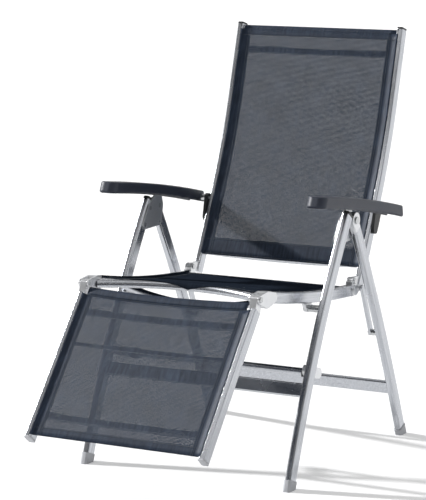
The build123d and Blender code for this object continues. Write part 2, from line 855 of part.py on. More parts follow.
# Lugs on the tops of the leg rest rails
lug_width = rail_width - 2 * flat_gap
footrest_lug_x = rail_centre_x - lug_width / 2
lug_heel = on_footrest(footrest_start, footrest_offset)
with BuildPart() as footrest_lug:
    add(
        boss_plate(
            footrest_lug_x,
            lug_width,
            [(footrest_hinge, hinge_eye_radius), (lug_heel, footrest_rail_depth / 2 - rail_corner / 2)],
        )
    )
    split(bisect_by=square_to(footrest_axis.line, 1), keep=Keep.TOP)
    with BuildSketch(side(footrest_lug_x)):
        with Locations(footrest_hinge):
            Circle(pivot_pin_radius + fit_gap)
    extrude(amount=lug_width, mode=Mode.SUBTRACT)
    mirror(about=Plane.YZ)
write(footrest_lug, "footrest_lugs")

# End caps of the leg rest rails
with BuildPart() as footrest_cap:
    with BuildSketch(Plane(origin=footrest_axis.line @ 0, x_dir=(1, 0, 0), z_dir=-(footrest_axis.line % 0))):
        RectangleRounded(rail_width, footrest_rail_depth, rail_corner)
    extrude(amount=cap_height)
    fillet(footrest_cap.faces().sort_by(Axis.Z)[0].edges(), rail_corner / 3)
    mirror(about=Plane.YZ)
write(footrest_cap, "footrest_end_caps")

# Leg rest cross tubes and the thin rod between them
footrest_tube_set = 2.5
footrest_upper_along = 69
footrest_rod_along = 156
footrest_lower_along = 350
rod_radius = 5
footrest_tube_bow = 10
for along, bow, radius, name in (
    (footrest_upper_along, footrest_tube_bow, tube_radius, "footrest_upper_tube"),
    (footrest_rod_along, footrest_tube_bow / 2, rod_radius, "footrest_rod"),
    (footrest_lower_along, footrest_tube_bow, tube_radius, "footrest_lower_tube"),
):
    spot = on_footrest(along, footrest_offset + footrest_tube_set)
    write(bowed_tube(across(spot, footrest_angle - 90), rail_inner_x, bow, radius), name)

footrest_cloth_start = 0.006
footrest_cloth_end = 0.99
with BuildPart() as footrest_sling:
    add(
        sheet(
            footrest_axis.edge(),
            -footrest_rail_depth / 2 + cloth_depth,
            footrest_cloth_start,
            footrest_cloth_end,
        )
    )
write(footrest_sling, "footrest_sling")
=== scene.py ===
import json
from math import cos, pi, radians, sin, sqrt, tan

import bmesh
import bpy
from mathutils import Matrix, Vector, noise

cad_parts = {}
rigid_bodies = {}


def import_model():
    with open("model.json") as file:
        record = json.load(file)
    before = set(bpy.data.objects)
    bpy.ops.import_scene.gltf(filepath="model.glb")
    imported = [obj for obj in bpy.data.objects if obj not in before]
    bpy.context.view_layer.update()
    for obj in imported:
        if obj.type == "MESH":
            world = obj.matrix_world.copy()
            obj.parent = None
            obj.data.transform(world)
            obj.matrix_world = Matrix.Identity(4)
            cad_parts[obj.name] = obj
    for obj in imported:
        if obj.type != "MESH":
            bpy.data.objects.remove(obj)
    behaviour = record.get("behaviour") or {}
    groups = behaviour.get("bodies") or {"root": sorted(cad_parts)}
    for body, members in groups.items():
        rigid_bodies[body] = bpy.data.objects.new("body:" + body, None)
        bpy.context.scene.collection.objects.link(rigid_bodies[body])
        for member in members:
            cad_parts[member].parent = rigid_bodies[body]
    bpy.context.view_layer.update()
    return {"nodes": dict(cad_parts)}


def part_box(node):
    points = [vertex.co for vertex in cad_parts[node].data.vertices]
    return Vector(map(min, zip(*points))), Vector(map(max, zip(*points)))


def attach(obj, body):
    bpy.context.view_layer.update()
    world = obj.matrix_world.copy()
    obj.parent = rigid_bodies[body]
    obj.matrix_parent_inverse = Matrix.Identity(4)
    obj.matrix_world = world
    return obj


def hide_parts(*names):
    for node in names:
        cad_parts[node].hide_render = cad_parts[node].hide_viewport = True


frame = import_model()
nodes = frame["nodes"]
print("frame loaded:", len(nodes), "nodes")


def hexColour(text):  # sRGB hex to linear, with alpha
    shades = [int(text[i:i + 2], 16) / 255 for i in (1, 3, 5)]
    return [c / 12.92 if c <= 0.04045 else ((c + 0.055) / 1.055) ** 2.4 for c in shades] + [1]


def addNode(tree, kind, settings=(), inputs=()):  # plain values are set, sockets are linked
    node = tree.nodes.new(kind)
    for key, value in dict(settings).items():
        setattr(node, key, value)
    for key, value in dict(inputs).items():
        if isinstance(value, bpy.types.NodeSocket):
            tree.links.new(value, node.inputs[key])
        else:
            node.inputs[key].default_value = value
    return node


def startMaterial(name):
    material = bpy.data.materials.new(name)
    material.use_nodes = True
    material.node_tree.nodes.clear()
    return material, material.node_tree


def endMaterial(tree, shader):
    addNode(tree, "ShaderNodeOutputMaterial", {}, {"Surface": shader.outputs[0]})


def objectPlace(tree):  # every piece sits untransformed at the origin, so this is its place at rest
    return addNode(tree, "ShaderNodeTexCoord").outputs["Object"]


def noiseNode(tree, place, scale, detail):
    return addNode(
        tree, "ShaderNodeTexNoise", {},
        {"Vector": place, "Scale": scale, "Detail": detail},
    ).outputs[0]


def mathNode(tree, operation, *values):
    return addNode(
        tree, "ShaderNodeMath", {"operation": operation}, dict(enumerate(values)),
    ).outputs[0]


def softEdge(tree, radius):  # rounds the edges a little in the shading
    return addNode(tree, "ShaderNodeBevel", {"samples": 4}, {"Radius": radius}).outputs[0]


def edgeShare(tree, rounded, start, end=0.8, most=1.0):  # 0 on the faces, up to most at the edges
    face = addNode(tree, "ShaderNodeNewGeometry").outputs["Normal"]
    turn = addNode(
        tree, "ShaderNodeVectorMath", {"operation": "DOT_PRODUCT"}, {0: rounded, 1: face},
    )
    return addNode(
        tree, "ShaderNodeMapRange", {},
        {"Value": turn.outputs["Value"], "From Min": start, "From Max": end, "To Max": most},
    ).outputs[0]


def blendColours(tree, share, first, second):  # each colour is a hex text or a socket
    colours = [hexColour(c) if isinstance(c, str) else c for c in (first, second)]
    return addNode(
        tree, "ShaderNodeMix", {"data_type": "RGBA"},
        {"Factor": share, 6: colours[0], 7: colours[1]},
    ).outputs[2]


def roughnessAbout(tree, value, middle, below, above):  # varies with value, a socket from 0 to 1
    return addNode(
        tree, "ShaderNodeMapRange", {},
        {"Value": value, "To Min": middle - below, "To Max": middle + above},
    ).outputs[0]


def bumpOf(tree, height, strength, distance, normal=None):
    inputs = {"Height": height, "Strength": strength, "Distance": distance}
    if normal is not None:
        inputs["Normal"] = normal
    return addNode(tree, "ShaderNodeBump", {}, inputs).outputs[0]


surfaceInputs = {
    "metallic": "Metallic", "ior": "IOR", "alpha": "Alpha", "sheen": "Sheen Weight",
    "gloss": "Specular IOR Level",
}


def endSurface(tree, colour, roughness, normal, **others):
    inputs = {"Base Color": colour, "Roughness": roughness, "Normal": normal}
    for key, value in others.items():
        inputs[surfaceInputs[key]] = value
    endMaterial(tree, addNode(tree, "ShaderNodeBsdfPrincipled", {}, inputs))


def newPiece(name, mesh, material, body):
    piece = bpy.data.objects.new(name, mesh)
    bpy.context.scene.collection.objects.link(piece)
    piece.data.materials.clear()
    piece.data.materials.append(material)
    piece["bodyName"] = body  # rides at the end, when all pieces are made
    return piece


def millimetres(*values):
    return tuple(v / 1000 for v in values)


# In the looks, in metres: bump is strength and depth, round is the edges' shading radius and
# cloudScale is blotches per metre. A roughness in brackets is the middle and the spans about it.
# Satin anodised extrusion: a soft silver with draw lines along the tube, their dark tone
# strengthened into painted reflection streaks, and paler edges
aluminiumLook = {
    "colour": "#DADCE0",
    # dark tone of the draw lines, partly painted reflection streaks
    "drawLineAndPaintedReflectionDark": "#8F939B",
    "rubbed": "#E4E5E8",
    "roughness": (0.25, 0.04, 0.07),
    "rubFrom": 0.985,
    "lineWidth": 0.0028,  # draw lines 2.8 mm apart, coarser than real so that they show
    "lineRun": 0.16,  # length of a line
    "grain": 0.0011,  # the etched surface under the anodising
    "etch": 0.35,
    "cloudScale": 14,
    "round": 0.0012,
    "bump": (0.10, 0.0006),
}


# The draw lines, darkened in part as painted reflection streaks, run along the tube; lean is its
# rise in degrees
def anodisedAluminium(name, lean, look=aluminiumLook):
    material, tree = startMaterial(name)
    place = objectPlace(tree)
    turned = addNode(
        tree, "ShaderNodeMapping", {}, {"Vector": place, "Rotation": (radians(-lean), 0, 0)},
    )
    along = (1 / look["lineWidth"], 1 / look["lineRun"], 1 / look["lineWidth"])
    lines = addNode(tree, "ShaderNodeMapping", {}, {"Vector": turned.outputs[0], "Scale": along})
    drawLinesAndPaintedStreaks = noiseNode(tree, lines.outputs[0], 1, 3)
    cloud = noiseNode(tree, place, look["cloudScale"], 4)
    etch = noiseNode(tree, place, 1 / look["grain"], 1)
    rounded = softEdge(tree, look["round"])
    rub = mathNode(tree, "MULTIPLY", edgeShare(tree, rounded, look["rubFrom"]), cloud)
    # draw lines tinted darker: real draw lines plus painted reflection streaks
    tint = blendColours(tree, drawLinesAndPaintedStreaks, look["drawLineAndPaintedReflectionDark"], look["colour"])
    worn = blendColours(tree, rub, tint, look["rubbed"])
    gloss = roughnessAbout(tree, cloud, *look["roughness"])
    height = mathNode(tree, "MULTIPLY_ADD", etch, look["etch"], drawLinesAndPaintedStreaks)
    endSurface(tree, worn, gloss, bumpOf(tree, height, *look["bump"], rounded), metallic=1)
    return material


# Cast aluminium, tumbled and lacquered silver: smoother than raw castings, a slightly wavy skin
castLook = {
    "dark": "#D0D2D5", "light": "#E2E3E5", "skin": 0.0024, "cloudScale": 35,
    "roughness": (0.34, 0.05, 0.08), "round": 0.0015, "bump": (0.14, 0.0006),
}


def castAluminium(look=castLook):
    material, tree = startMaterial("castAluminium")
    place = objectPlace(tree)
    skin = noiseNode(tree, place, 1 / look["skin"], 4)
    cloud = noiseNode(tree, place, look["cloudScale"], 3)
    tint = blendColours(tree, cloud, look["dark"], look["light"])
    gloss = roughnessAbout(tree, skin, *look["roughness"])
    bump = bumpOf(tree, skin, *look["bump"], softEdge(tree, look["round"]))
    endSurface(tree, tint, gloss, bump, metallic=1)
    return material


# Turned stainless steel: brighter and tighter highlights, with fine lathe rings about X
steelLook = {
    "dark": "#B0B2B4", "light": "#C8CACB", "ring": 0.0007, "acrossScale": 60,
    "roughness": (0.24, 0.04, 0.10), "round": 0.0008, "bump": (0.12, 0.0004),
}


def turnedSteel(look=steelLook):
    material, tree = startMaterial("turnedStainlessSteel")
    place = objectPlace(tree)
    across = look["acrossScale"]
    squeeze = (1 / look["ring"], across, across)
    squeezed = addNode(tree, "ShaderNodeMapping", {}, {"Vector": place, "Scale": squeeze})
    marks = noiseNode(tree, squeezed.outputs[0], 1, 2)
    cloud = noiseNode(tree, place, across, 3)
    tint = blendColours(tree, cloud, look["dark"], look["light"])
    gloss = roughnessAbout(tree, marks, *look["roughness"])
    bump = bumpOf(tree, marks, *look["bump"], softEdge(tree, look["round"]))
    endSurface(tree, tint, gloss, bump, metallic=1)
    return material


# Moulded plastics: an eroded grain, a soft broad sheen and edges rubbed a little paler
armrestLook = {
    "colour": "#1D2434", "pale": "#353D4E", "roughness": 0.46, "grain": 0.0014, "rub": 0.5,
}
blackLook = {"colour": "#111316", "pale": "#303337", "roughness": 0.45, "grain": 0.0012, "rub": 0.4}
greyLook = {"colour": "#BEC0C5", "pale": "#D8D9DC", "roughness": 0.50, "grain": 0.0013, "rub": 0.5}
mouldedLook = {
    "grainBlend": 0.6, "cloudScale": 22, "cloud": 0.3, "round": 0.0012, "bump": (0.15, 0.0005),
    "roughnessSpan": (0.06, 0.08), "rubFrom": 0.98,
}


def mouldedPlastic(name, look, skin=mouldedLook):
    material, tree = startMaterial(name)
    place = objectPlace(tree)
    grain = addNode(
        tree, "ShaderNodeTexVoronoi", {"feature": "SMOOTH_F1"},
        {"Vector": place, "Scale": 1 / look["grain"], "Smoothness": skin["grainBlend"]},
    )
    cloud = noiseNode(tree, place, skin["cloudScale"], 5)
    rounded = softEdge(tree, skin["round"])
    edge = edgeShare(tree, rounded, skin["rubFrom"], most=look["rub"])
    tone = mathNode(tree, "MULTIPLY_ADD", cloud, skin["cloud"], edge)
    tint = blendColours(tree, tone, look["colour"], look["pale"])
    gloss = roughnessAbout(tree, cloud, look["roughness"], *skin["roughnessSpan"])
    bump = bumpOf(tree, grain.outputs["Distance"], *skin["bump"], rounded)
    endSurface(tree, tint, gloss, bump, ior=1.49)
    return material


# Plastic-coated polyester mesh in a plain weave: blue-black yarns round small square openings.
# The real pitch is about 1.8 mm; it is drawn at 3.2 mm so that it shows.
meshLook = {
    "pitch": 0.0032,
    "opening": 0.28,
    "streakWide": 0.005,  # slubs in the yarn, seen as short paler streaks up the cloth
    "streakLong": 0.045,
    "slub": (0.15, 0.80),
    "cloudScale": 16,
    "warp": "#131D2B",
    "weft": "#192536",
    "lint": "#415068",
    "roughness": 0.55,
    "gloss": 0.22,  # a rough yarn shades its own highlights
    "sheen": 0.03,
    "bump": (0.5, 0.0006),
}
# The seat's copy of the cloth has darker yarns, painted shade for a cloth seen along its yarns,
# which close the openings and swallow the highlight
seatMeshPaintedShadeLook = {
    **meshLook, "opening": 0.06, "warp": "#171C25", "weft": "#1D232D", "lint": "#343C48",
    "gloss": 0.0, "sheen": 0.0,
}


def wovenMesh(name, look=meshLook, shift=0.0):
    material, tree = startMaterial(name)
    flat = addNode(tree, "ShaderNodeUVMap", {"uv_map": "clothMap"}).outputs[0]
    count = 1 / look["pitch"]
    cells = addNode(
        tree, "ShaderNodeMapping", {},
        {"Vector": flat, "Scale": (count, count, 1), "Location": (shift, shift, 0)},
    ).outputs[0]
    inside = addNode(tree, "ShaderNodeVectorMath", {"operation": "FRACTION"}, {0: cells})
    parts = addNode(tree, "ShaderNodeSeparateXYZ", {}, {0: inside.outputs[0]}).outputs
    across, along = parts[0], parts[1]
    half = look["opening"] / 2
    gapAcross = mathNode(tree, "COMPARE", across, 0.5, half)
    gapAlong = mathNode(tree, "COMPARE", along, 0.5, half)
    cover = mathNode(tree, "SUBTRACT", 1.0, mathNode(tree, "MULTIPLY", gapAcross, gapAlong))
    over = addNode(tree, "ShaderNodeTexChecker", {}, {"Vector": cells, "Scale": 1.0}).outputs["Fac"]
    height = addNode(
        tree, "ShaderNodeMix", {"data_type": "FLOAT"},
        {
            "Factor": over,
            2: mathNode(tree, "PINGPONG", across, 0.5),
            3: mathNode(tree, "PINGPONG", along, 0.5),
        },
    ).outputs[0]
    streakScale = (1 / look["streakWide"], 1 / look["streakLong"], 1)
    streakPlace = addNode(tree, "ShaderNodeMapping", {}, {"Vector": flat, "Scale": streakScale})
    slub = noiseNode(tree, streakPlace.outputs[0], 1, 2)
    streak = addNode(
        tree, "ShaderNodeMapRange", {},
        {"Value": slub, "From Min": look["slub"][0], "From Max": look["slub"][1]},
    ).outputs[0]
    cloud = noiseNode(tree, flat, look["cloudScale"], 4)
    yarn = blendColours(tree, over, look["warp"], look["weft"])
    tint = blendColours(tree, mathNode(tree, "MULTIPLY", streak, cloud), yarn, look["lint"])
    endSurface(
        tree, tint, look["roughness"], bumpOf(tree, height, *look["bump"]),
        ior=1.5, alpha=cover, sheen=look["sheen"], gloss=look["gloss"],
    )
    return material


# Bonded polyester sewing thread: matt, with a twist that catches a little light
threadLook = {
    "colour": "#2C343C", "light": "#59616A", "roughness": 0.7, "sheen": 0.15,
    "twist": 0.003,  # drawn at 3 mm, coarser than real
    "waver": 2.0, "bump": (0.3, 0.0003),
}


def sewingThread(look=threadLook):
    material, tree = startMaterial("bondedPolyesterThread")
    twist = addNode(
        tree, "ShaderNodeTexWave", {},
        {"Vector": objectPlace(tree), "Scale": 1 / look["twist"], "Distortion": look["waver"]},
    ).outputs["Fac"]
    tint = blendColours(tree, twist, look["colour"], look["light"])
    bump = bumpOf(tree, twist, *look["bump"])
    endSurface(tree, tint, look["roughness"], bump, sheen=look["sheen"])
    return material


tubeLeans = {
    "frontLeg": 62.0, "rearLeg": 117.0, "seat": -7.0, "back": 66.0, "legRest": 50.8, "cross": 0.0,
}
tubeFinish = {}
for key, lean in tubeLeans.items():
    tubeFinish[key] = anodisedAluminium("anodisedAluminium" + key[0].upper() + key[1:], lean)
castFinish = castAluminium()
steelFinish = turnedSteel()
armFinish = mouldedPlastic("mouldedPolypropyleneAnthracite", armrestLook)
blackFinish = mouldedPlastic("mouldedPolyamideBlack", blackLook)
greyFinish = mouldedPlastic("mouldedPolyethyleneGrey", greyLook)
meshFinish = wovenMesh("wovenMesh")
hemFinish = wovenMesh("wovenMeshHem", shift=0.5)
# the seat's cloth and hems take the darker copy of the mesh, painted shade
seatMeshFinish = wovenMesh("wovenMeshSeat", seatMeshPaintedShadeLook)
seatHemFinish = wovenMesh("wovenMeshSeatHem", seatMeshPaintedShadeLook, shift=0.5)
threadFinish = sewingThread()
print("finishes made")

tubeNodes = {
    "frontLeg": ["front_leg_left", "front_leg_right"],
    "rearLeg": ["rear_leg_left", "rear_leg_right", "fold_link_left", "fold_link_right"],
    "seat": ["seat_rail_left", "seat_rail_right"],
    "back": ["back_rail_left", "back_rail_right"],
    "legRest": ["footrest_rail_left", "footrest_rail_right"],
    "cross": [
        "front_crossbar", "rear_crossbar", "stay_tube",
        "seat_front_tube", "seat_middle_tube", "seat_rear_tube",
        "back_top_tube", "back_upper_tube", "back_lower_tube",
        "footrest_upper_tube", "footrest_lower_tube", "footrest_rod",
    ],
}
otherNodes = [
    (castFinish, [
        "hub_plate_left", "hub_plate_right", "stay_lugs", "rear_leg_knuckles",
        "front_hinge_casting_left", "front_hinge_casting_right", "seat_pivot_brackets",
        "back_hinge_fork_left", "back_hinge_fork_right", "back_hinge_tongues", "footrest_lugs",
    ]),
    (steelFinish, [
        "hub_pivot_pins", "armrest_rest_pins", "frame_bolts", "seat_pivot_pins", "link_pins",
        "footrest_hinge_pins", "back_hinge_pins", "armrest_pins",
    ]),
    (armFinish, ["armrest_left", "armrest_right"]),
    (blackFinish, [
        "front_leg_plugs", "back_rail_caps", "stay_clamps", "armrest_brackets",
        "armrest_rack_left", "armrest_rack_right",
    ]),
    (greyFinish, [
        "front_foot_cap_left", "front_foot_cap_right", "rear_foot_cap_left", "rear_foot_cap_right",
        "footrest_end_caps",
    ]),
]
tubeGroups = [(tubeFinish[key], names) for key, names in tubeNodes.items()]
for finish, names in tubeGroups + otherNodes:
    for name in names:
        for place in nodes[name].material_slots:
            place.material = finish
print("frame pieces finished")


# Side-view paths of the rails, in metres: each gives y, z and the heading at a length along it
hubSetBack = 0.144
seatRail = {"front": millimetres(-364, 463.5), "rear": millimetres(82, 408.5), "sag": 0.008}
backRail = {
    "foot": millimetres(136, 412), "lowLean": 26.4, "highLean": 16.2, "lowRun": 0.365, "bend": 1.5,
}
legRestRail = {"hinge": millimetres(-423, 467), "lean": 50.8, "reach": 0.413, "below": 0.0125}


def seatPath(length, rail=seatRail):  # sags a little between the front hinge and the fork
    start, end = rail["front"], rail["rear"]
    run = sqrt((end[0] - start[0]) ** 2 + (end[1] - start[1]) ** 2)
    share = length / run
    ahead = ((end[0] - start[0]) / run, (end[1] - start[1]) / run)
    dip = 4 * rail["sag"] * share * (1 - share)
    slope = -4 * rail["sag"] * (1 - 2 * share) / run
    heading = Vector((ahead[0] - ahead[1] * slope, ahead[1] + ahead[0] * slope)).normalized()
    y = hubSetBack + start[0] + ahead[0] * length + ahead[1] * dip
    return y, start[1] + ahead[1] * length - ahead[0] * dip, heading.x, heading.y


def backPath(length, rail=backRail):  # straight, a long gentle bend over the shoulders, straight
    lowLean, highLean, radius = radians(rail["lowLean"]), radians(rail["highLean"]), rail["bend"]
    straight = rail["lowRun"] - radius * tan((lowLean - highLean) / 2)
    arc = radius * (lowLean - highLean)
    lean = lowLean - min(max(length - straight, 0), arc) / radius
    first = min(length, straight)
    last = max(length - straight - arc, 0)
    y, z = rail["foot"]
    y += first * sin(lowLean) + radius * (cos(lean) - cos(lowLean)) + last * sin(lean)
    z += first * cos(lowLean) + radius * (sin(lowLean) - sin(lean)) + last * cos(lean)
    return hubSetBack + y, z, sin(lean), cos(lean)


def legRestPath(length, rail=legRestRail):  # from the foot end up to the hinge
    turn = radians(rail["lean"])
    along = rail["reach"] - length
    y = rail["hinge"][0] - along * cos(turn) + rail["below"] * sin(turn)
    z = rail["hinge"][1] - along * sin(turn) - rail["below"] * cos(turn)
    return hubSetBack + y, z, cos(turn), sin(turn)


def onPath(path, length, x, lift):  # lift is towards the face that carries the cloth
    y, z, ahead, up = path(length)
    return Vector((x, y - lift * up, z + lift * ahead))


# The cloth runs flat between the rails, climbs over their inner edge and drops into the groove
clothEdge = {
    "flat": 0.2214, "cornerX": 0.226, "cornerRadius": 0.0046, "grooveX": 0.2275,
    "grooveDrop": 0.0045, "bandInset": 0.001,
    "hemWidth": 0.0235, "hemGap": 0.0008, "hemInset": 0.0005, "step": 0.012, "cornerSteps": 4,
    "thickness": 0.0004, "stand": 0.0006, "lipIn": 0.0004, "lipUp": 0.0003, "lipDown": 0.0008,
    "waveAcross": 5, "waveAlong": 4, "waveSeed": 3.1,  # the slight slack of the stretched cloth
}


def clothLevel(face):  # height of the flat cloth over the rail's axis; face: the rail's half depth
    return face - clothEdge["cornerRadius"] + clothEdge["stand"]


def crossProfile(face, inner=0.0):  # (x, lift) from the middle, or a hem's inner edge, outwards
    edge = clothEdge
    low = clothLevel(face)
    points = [(x, low) for x in evenly(inner, edge["flat"], edge["step"])]
    radius = edge["cornerRadius"]
    for i in range(1, edge["cornerSteps"] + 1):
        turn = radians(90 * i / edge["cornerSteps"])
        points.append((edge["cornerX"] - radius * cos(turn), low + radius * sin(turn)))
    points.append((edge["grooveX"] - edge["lipIn"], face + edge["lipUp"]))
    points.append((edge["grooveX"], face - edge["lipDown"]))
    points.append((edge["grooveX"], face - edge["grooveDrop"]))
    return points


def evenly(start, end, step):
    count = max(1, round((end - start) / step))
    return [start + (end - start) * i / count for i in range(count + 1)]


def gridMesh(name, rows):  # rows of (point, across, along), faces to the cloth's outer side
    mesh = bpy.data.meshes.new(name)
    work = bmesh.new()
    layer = work.loops.layers.uv.new("clothMap")
    grid = [[work.verts.new(cell[0]) for cell in row] for row in rows]
    for i in range(len(rows) - 1):
        for j in range(len(rows[i]) - 1):
            spots = ((i, j), (i, j + 1), (i + 1, j + 1), (i + 1, j))
            quad = work.faces.new([grid[a][b] for a, b in spots])
            quad.smooth = True
            for loop, (a, b) in zip(quad.loops, spots):
                loop[layer].uv = rows[a][b][1:]
    work.to_mesh(mesh)
    work.free()
    return mesh


def joinMeshes(name, meshes):
    work = bmesh.new()
    for mesh in meshes:
        work.from_mesh(mesh)
        bpy.data.meshes.remove(mesh)
    joined = bpy.data.meshes.new(name)
    work.to_mesh(joined)
    work.free()
    return joined


def bothSides(profile, sign):  # sign picks the side; 0 gives both sides in one sheet
    if sign > 0:
        return profile
    mirrored = [(-x, lift) for x, lift in reversed(profile)]
    return mirrored if sign < 0 else mirrored[:-1] + profile


def spreadOf(across):  # flat distances across the cloth, for the weave
    spread = [0.0]
    for (x0, l0), (x1, l1) in zip(across, across[1:]):
        spread.append(spread[-1] + sqrt((x1 - x0) ** 2 + (l1 - l0) ** 2))
    middle = spread[-1] / 2 if across[0][0] * across[-1][0] < 0 else -across[0][0]
    return [s - middle for s in spread]


def clothRows(place, across, lengths, drop=0.0, ripple=0.0):  # place(x, lift, length): a point
    edge = clothEdge
    rows = []
    for length in lengths:
        row = []
        for (x, lift), s in zip(across, spreadOf(across)):
            slack = max(0.0, 1 - (x / edge["flat"]) ** 2)
            spot = Vector((x * edge["waveAcross"], length * edge["waveAlong"], edge["waveSeed"]))
            wave = ripple * slack * noise.noise(spot)
            row.append((place(x, lift - drop + wave, length), s, length))
        rows.append(row)
    return rows


def addThickness(piece):
    coat = piece.modifiers.new("clothThickness", "SOLIDIFY")
    coat.thickness = clothEdge["thickness"]
    coat.offset = 0.0
    coat.use_even_offset = False


def hemStrips(place, face, sideLengths, bands):  # side hems and cross bands behind the cloth
    edge = clothEdge
    profile = crossProfile(face, edge["flat"] - edge["hemWidth"])
    strips = []
    for sign in (-1, 1):
        side = clothRows(place, bothSides(profile, sign), sideLengths, edge["hemGap"])
        strips.append(gridMesh("side", side))
    reach = edge["flat"] - edge["bandInset"]
    across = [(x, clothLevel(face)) for x in evenly(0, reach, edge["step"])]
    for bandPlace, lengths in bands:
        band = clothRows(bandPlace, bothSides(across, 0), lengths, 2 * edge["hemGap"])
        strips.append(gridMesh("band", band))
    return strips


def clothPiece(name, meshes, finish, body):
    piece = newPiece(name, joinMeshes(name, meshes), finish, body)
    addThickness(piece)
    return piece


# Back sling: wraps the top tube, hangs down the front and ends in a sewn hem over the seat
backCloth = {
    "face": 0.014, "start": 0.046, "end": 0.6655, "bottomHem": 0.046, "topHem": 0.016,
    "tubeLength": 0.669, "tubeBehind": 0.0025, "wrapRadius": 0.0098, "wrapSteps": 8,
    "wrapBelow": (0.0125, 0.003), "seamTail": 0.004, "wrapReach": 0.2205, "wrapStep": 0.02,
    "step": 0.014, "hemStep": 0.01, "ripple": 0.0006,
}


def backPlace(x, lift, length):
    return onPath(backPath, length, x, lift)


def makeBackSling(cut=backCloth):
    level = clothLevel(cut["face"])
    lengths = evenly(cut["start"], cut["end"], cut["step"])
    across = bothSides(crossProfile(cut["face"]), 0)
    main = gridMesh("backMain", clothRows(backPlace, across, lengths, ripple=cut["ripple"]))
    over = [(cut["end"], level)]  # the wrap in side view: over the tube, then down to the seam
    for i in range(cut["wrapSteps"] + 1):
        turn = radians(180 * i / cut["wrapSteps"])
        lift = cut["wrapRadius"] * cos(turn) - cut["tubeBehind"]
        over.append((cut["tubeLength"] + cut["wrapRadius"] * sin(turn), lift))
    seamLength = cut["tubeLength"] - cut["topHem"]
    over.append((cut["tubeLength"] - cut["wrapBelow"][0], cut["wrapBelow"][1]))
    over.append((seamLength, level - clothEdge["hemGap"]))
    over.append((seamLength - cut["seamTail"], level - clothEdge["hemGap"]))
    wrapAcross = evenly(-cut["wrapReach"], cut["wrapReach"], cut["wrapStep"])
    rows = []
    walked = cut["end"]
    for i, (length, lift) in enumerate(over):
        if i:
            walked += sqrt((length - over[i - 1][0]) ** 2 + (lift - over[i - 1][1]) ** 2)
        rows.append([(backPlace(x, lift, length), x, walked) for x in wrapAcross])
    wrap = gridMesh("backWrap", rows)
    cloth = clothPiece("backSlingCloth", [main, wrap], meshFinish, "back_frame")
    first = cut["start"] + clothEdge["hemInset"]
    bottom = evenly(first, cut["start"] + cut["bottomHem"], cut["hemStep"])
    strips = hemStrips(backPlace, cut["face"], lengths, [(backPlace, bottom)])
    return cloth, clothPiece("backSlingHems", strips, hemFinish, "back_frame")


# Seat sling: its front rides up over the bowed front tube and wraps furthest round it in the middle
seatCloth = {
    "face": 0.014, "start": 0.002, "end": 0.4425, "frontHem": 0.026, "rearHem": 0.022,
    "step": 0.013, "tubeMiddle": -0.177, "tubeBend": 0.393, "tubeHeight": 0.461,
    "wrapRadius": 0.0113, "wrapReach": 0.172, "wrapMargin": 0.01, "wrapLeast": 8,
    "wrapTurn": 112, "wrapFall": 2.6, "lipRows": 6, "lipSlack": 0.0001, "fade": 0.15, "reach": 0.22,
    "runShare": 0.9925,  # of the rails' length, seen from above
    "turnDown": (0.0012, 0.0016), "turnWidth": 0.002, "hemStep": 0.009, "ripple": 0.0007,
}


def tubeSetBack(x, cut=seatCloth):  # y of the front tube's axis
    return cut["tubeMiddle"] - cut["tubeBend"] + sqrt(cut["tubeBend"] ** 2 - x * x)


def seatFront(x, cut=seatCloth):  # length along the rails at which the cloth meets the tube's top
    reach = min(abs(x), cut["reach"])
    behind = tubeSetBack(reach) - hubSetBack - seatRail["front"][0]
    return max(cut["start"], behind / cut["runShare"])


def seatPlace(x, lift, length, cut=seatCloth):
    front = seatFront(x)
    share = (length - cut["start"]) / (cut["end"] - cut["start"])
    here = front + share * (cut["end"] - front)
    return seatSpot(x, lift, here, front)


def seatSpot(x, lift, here, front, cut=seatCloth):  # lifted towards the tube's top near the front
    point = onPath(seatPath, here, x, lift)
    top = cut["tubeHeight"] + cut["wrapRadius"]
    rise = max(0.0, top - onPath(seatPath, front, x, clothLevel(cut["face"])).z)
    fade = max(0.0, 1 - (here - front) / cut["fade"])
    if abs(x) < cut["wrapReach"] + cut["wrapMargin"]:
        point.z += rise * fade ** 2
    return point


def seatHemPlace(x, lift, length):  # the front hem keeps its width along the bow
    front = seatFront(x)
    return seatSpot(x, lift, front + length - seatCloth["start"], front)


def seatLip(x, share, cut=seatCloth):  # round the tube's front, or a small turn-down beside it
    reach = abs(x)
    front = seatFront(x)
    if reach > cut["wrapReach"]:
        point = seatSpot(x, clothLevel(cut["face"]), front, front)
        ahead, down = cut["turnDown"]
        return point + Vector((0, -ahead * share, -down * share)), cut["turnWidth"] * share
    inward = (1 - reach / cut["wrapReach"]) ** cut["wrapFall"]
    turn = radians(cut["wrapLeast"] + cut["wrapTurn"] * inward) * share
    radius = cut["wrapRadius"]
    y = tubeSetBack(x) - radius * sin(turn)
    return Vector((x, y, cut["tubeHeight"] + radius * cos(turn))), radius * turn


def makeSeatSling(cut=seatCloth):
    across = bothSides(crossProfile(cut["face"]), 0)
    lipReach = clothEdge["flat"] + cut["lipSlack"]
    inner = [(x, lift) for x, lift in across if abs(x) < lipReach]
    lengths = evenly(cut["start"], cut["end"], cut["step"])
    main = gridMesh("seatMain", clothRows(seatPlace, across, lengths, ripple=cut["ripple"]))
    lip = []
    for k in range(cut["lipRows"], -1, -1):
        row = []
        for x, lift in inner:
            point, walked = seatLip(x, k / cut["lipRows"])
            if k == 0:
                point = seatPlace(x, lift, cut["start"])
            row.append((point, x, cut["start"] - walked))
        lip.append(row)
    meshes = [main, gridMesh("seatLip", lip)]
    cloth = clothPiece("seatSlingCloth", meshes, seatMeshFinish, "seat_frame")
    inset = clothEdge["hemInset"]
    front = evenly(cut["start"] + inset, cut["start"] + cut["frontHem"], cut["hemStep"])
    rear = evenly(cut["end"] - cut["rearHem"], cut["end"] - inset, cut["hemStep"])
    bands = [(seatHemPlace, front), (seatPlace, rear)]
    strips = hemStrips(seatPlace, cut["face"], lengths, bands)
    return cloth, clothPiece("seatSlingHems", strips, seatHemFinish, "seat_frame")


